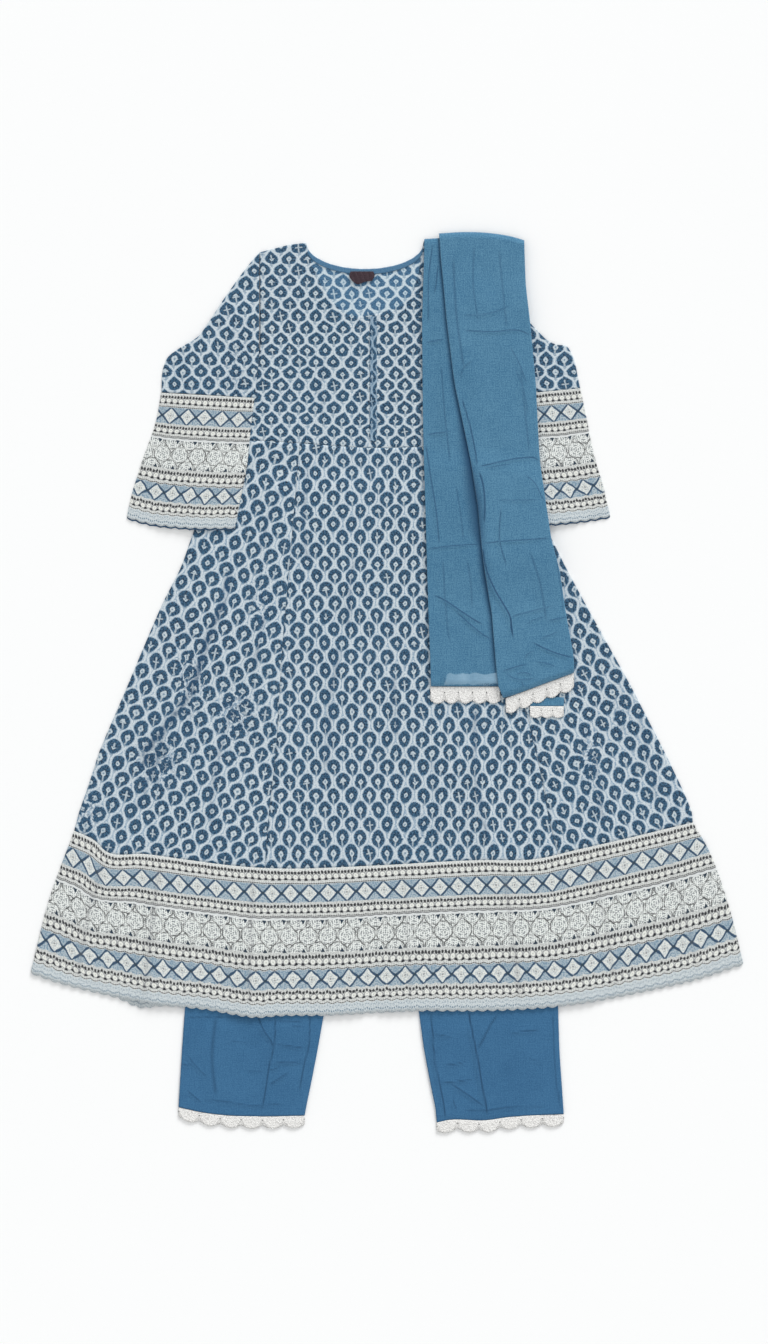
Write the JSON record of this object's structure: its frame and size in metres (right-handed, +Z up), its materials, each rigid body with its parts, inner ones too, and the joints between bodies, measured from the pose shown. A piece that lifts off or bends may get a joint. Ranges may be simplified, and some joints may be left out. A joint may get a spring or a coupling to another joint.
{
  "type": "kurta set",
  "caption": "Long flared printed kurta laid flat over lace-trimmed trousers, with a folded lace-ended dupatta over one shoulder.",
  "frame": {"origin": "on the surface the set lies on, under the middle of the whole set's box", "axes": "+X to the right of the set as it lies, seen from above; +Y up to the neck; +Z up from the surface"},
  "size_m": [1.0684, 1.3507, 0.0161],
  "materials": {
    "print": "plain cotton with a block print, matt",
    "border": "plain cotton with a printed border, matt",
    "dupatta": "slub cotton, matt",
    "trousers": "plain cotton, matt",
    "facing": "plain cotton, matt",
    "label": "woven label, left bare",
    "lace": "cotton lace, matt"
  },
  "bodies": {
    "root": {"front_bodice": "print", "back_bodice": "print", "front_placket": "print", "front_skirt_left": "print", "front_skirt_centre": "print", "front_skirt_right": "print", "back_skirt_left": "print", "back_skirt_centre": "print", "back_skirt_right": "print", "sleeve_left": "print", "sleeve_right": "print", "front_hem_border": "border", "back_hem_border": "border", "cuff_left": "border", "cuff_right": "border", "dupatta_left_stretch": "dupatta", "dupatta_right_stretch": "dupatta", "dupatta_under_end": "dupatta", "trouser_front_left": "trousers", "trouser_front_right": "trousers", "trouser_back_left": "trousers", "trouser_back_right": "trousers", "trouser_waistband": "trousers", "neck_facing": "facing", "neck_label": "label", "trouser_lace_front_left": "lace", "trouser_lace_back_left": "lace", "trouser_lace_front_right": "lace", "trouser_lace_back_right": "lace", "dupatta_lace_left": "lace", "dupatta_lace_right": "lace", "dupatta_lace_under": "lace"}
  },
  "joints": []
}
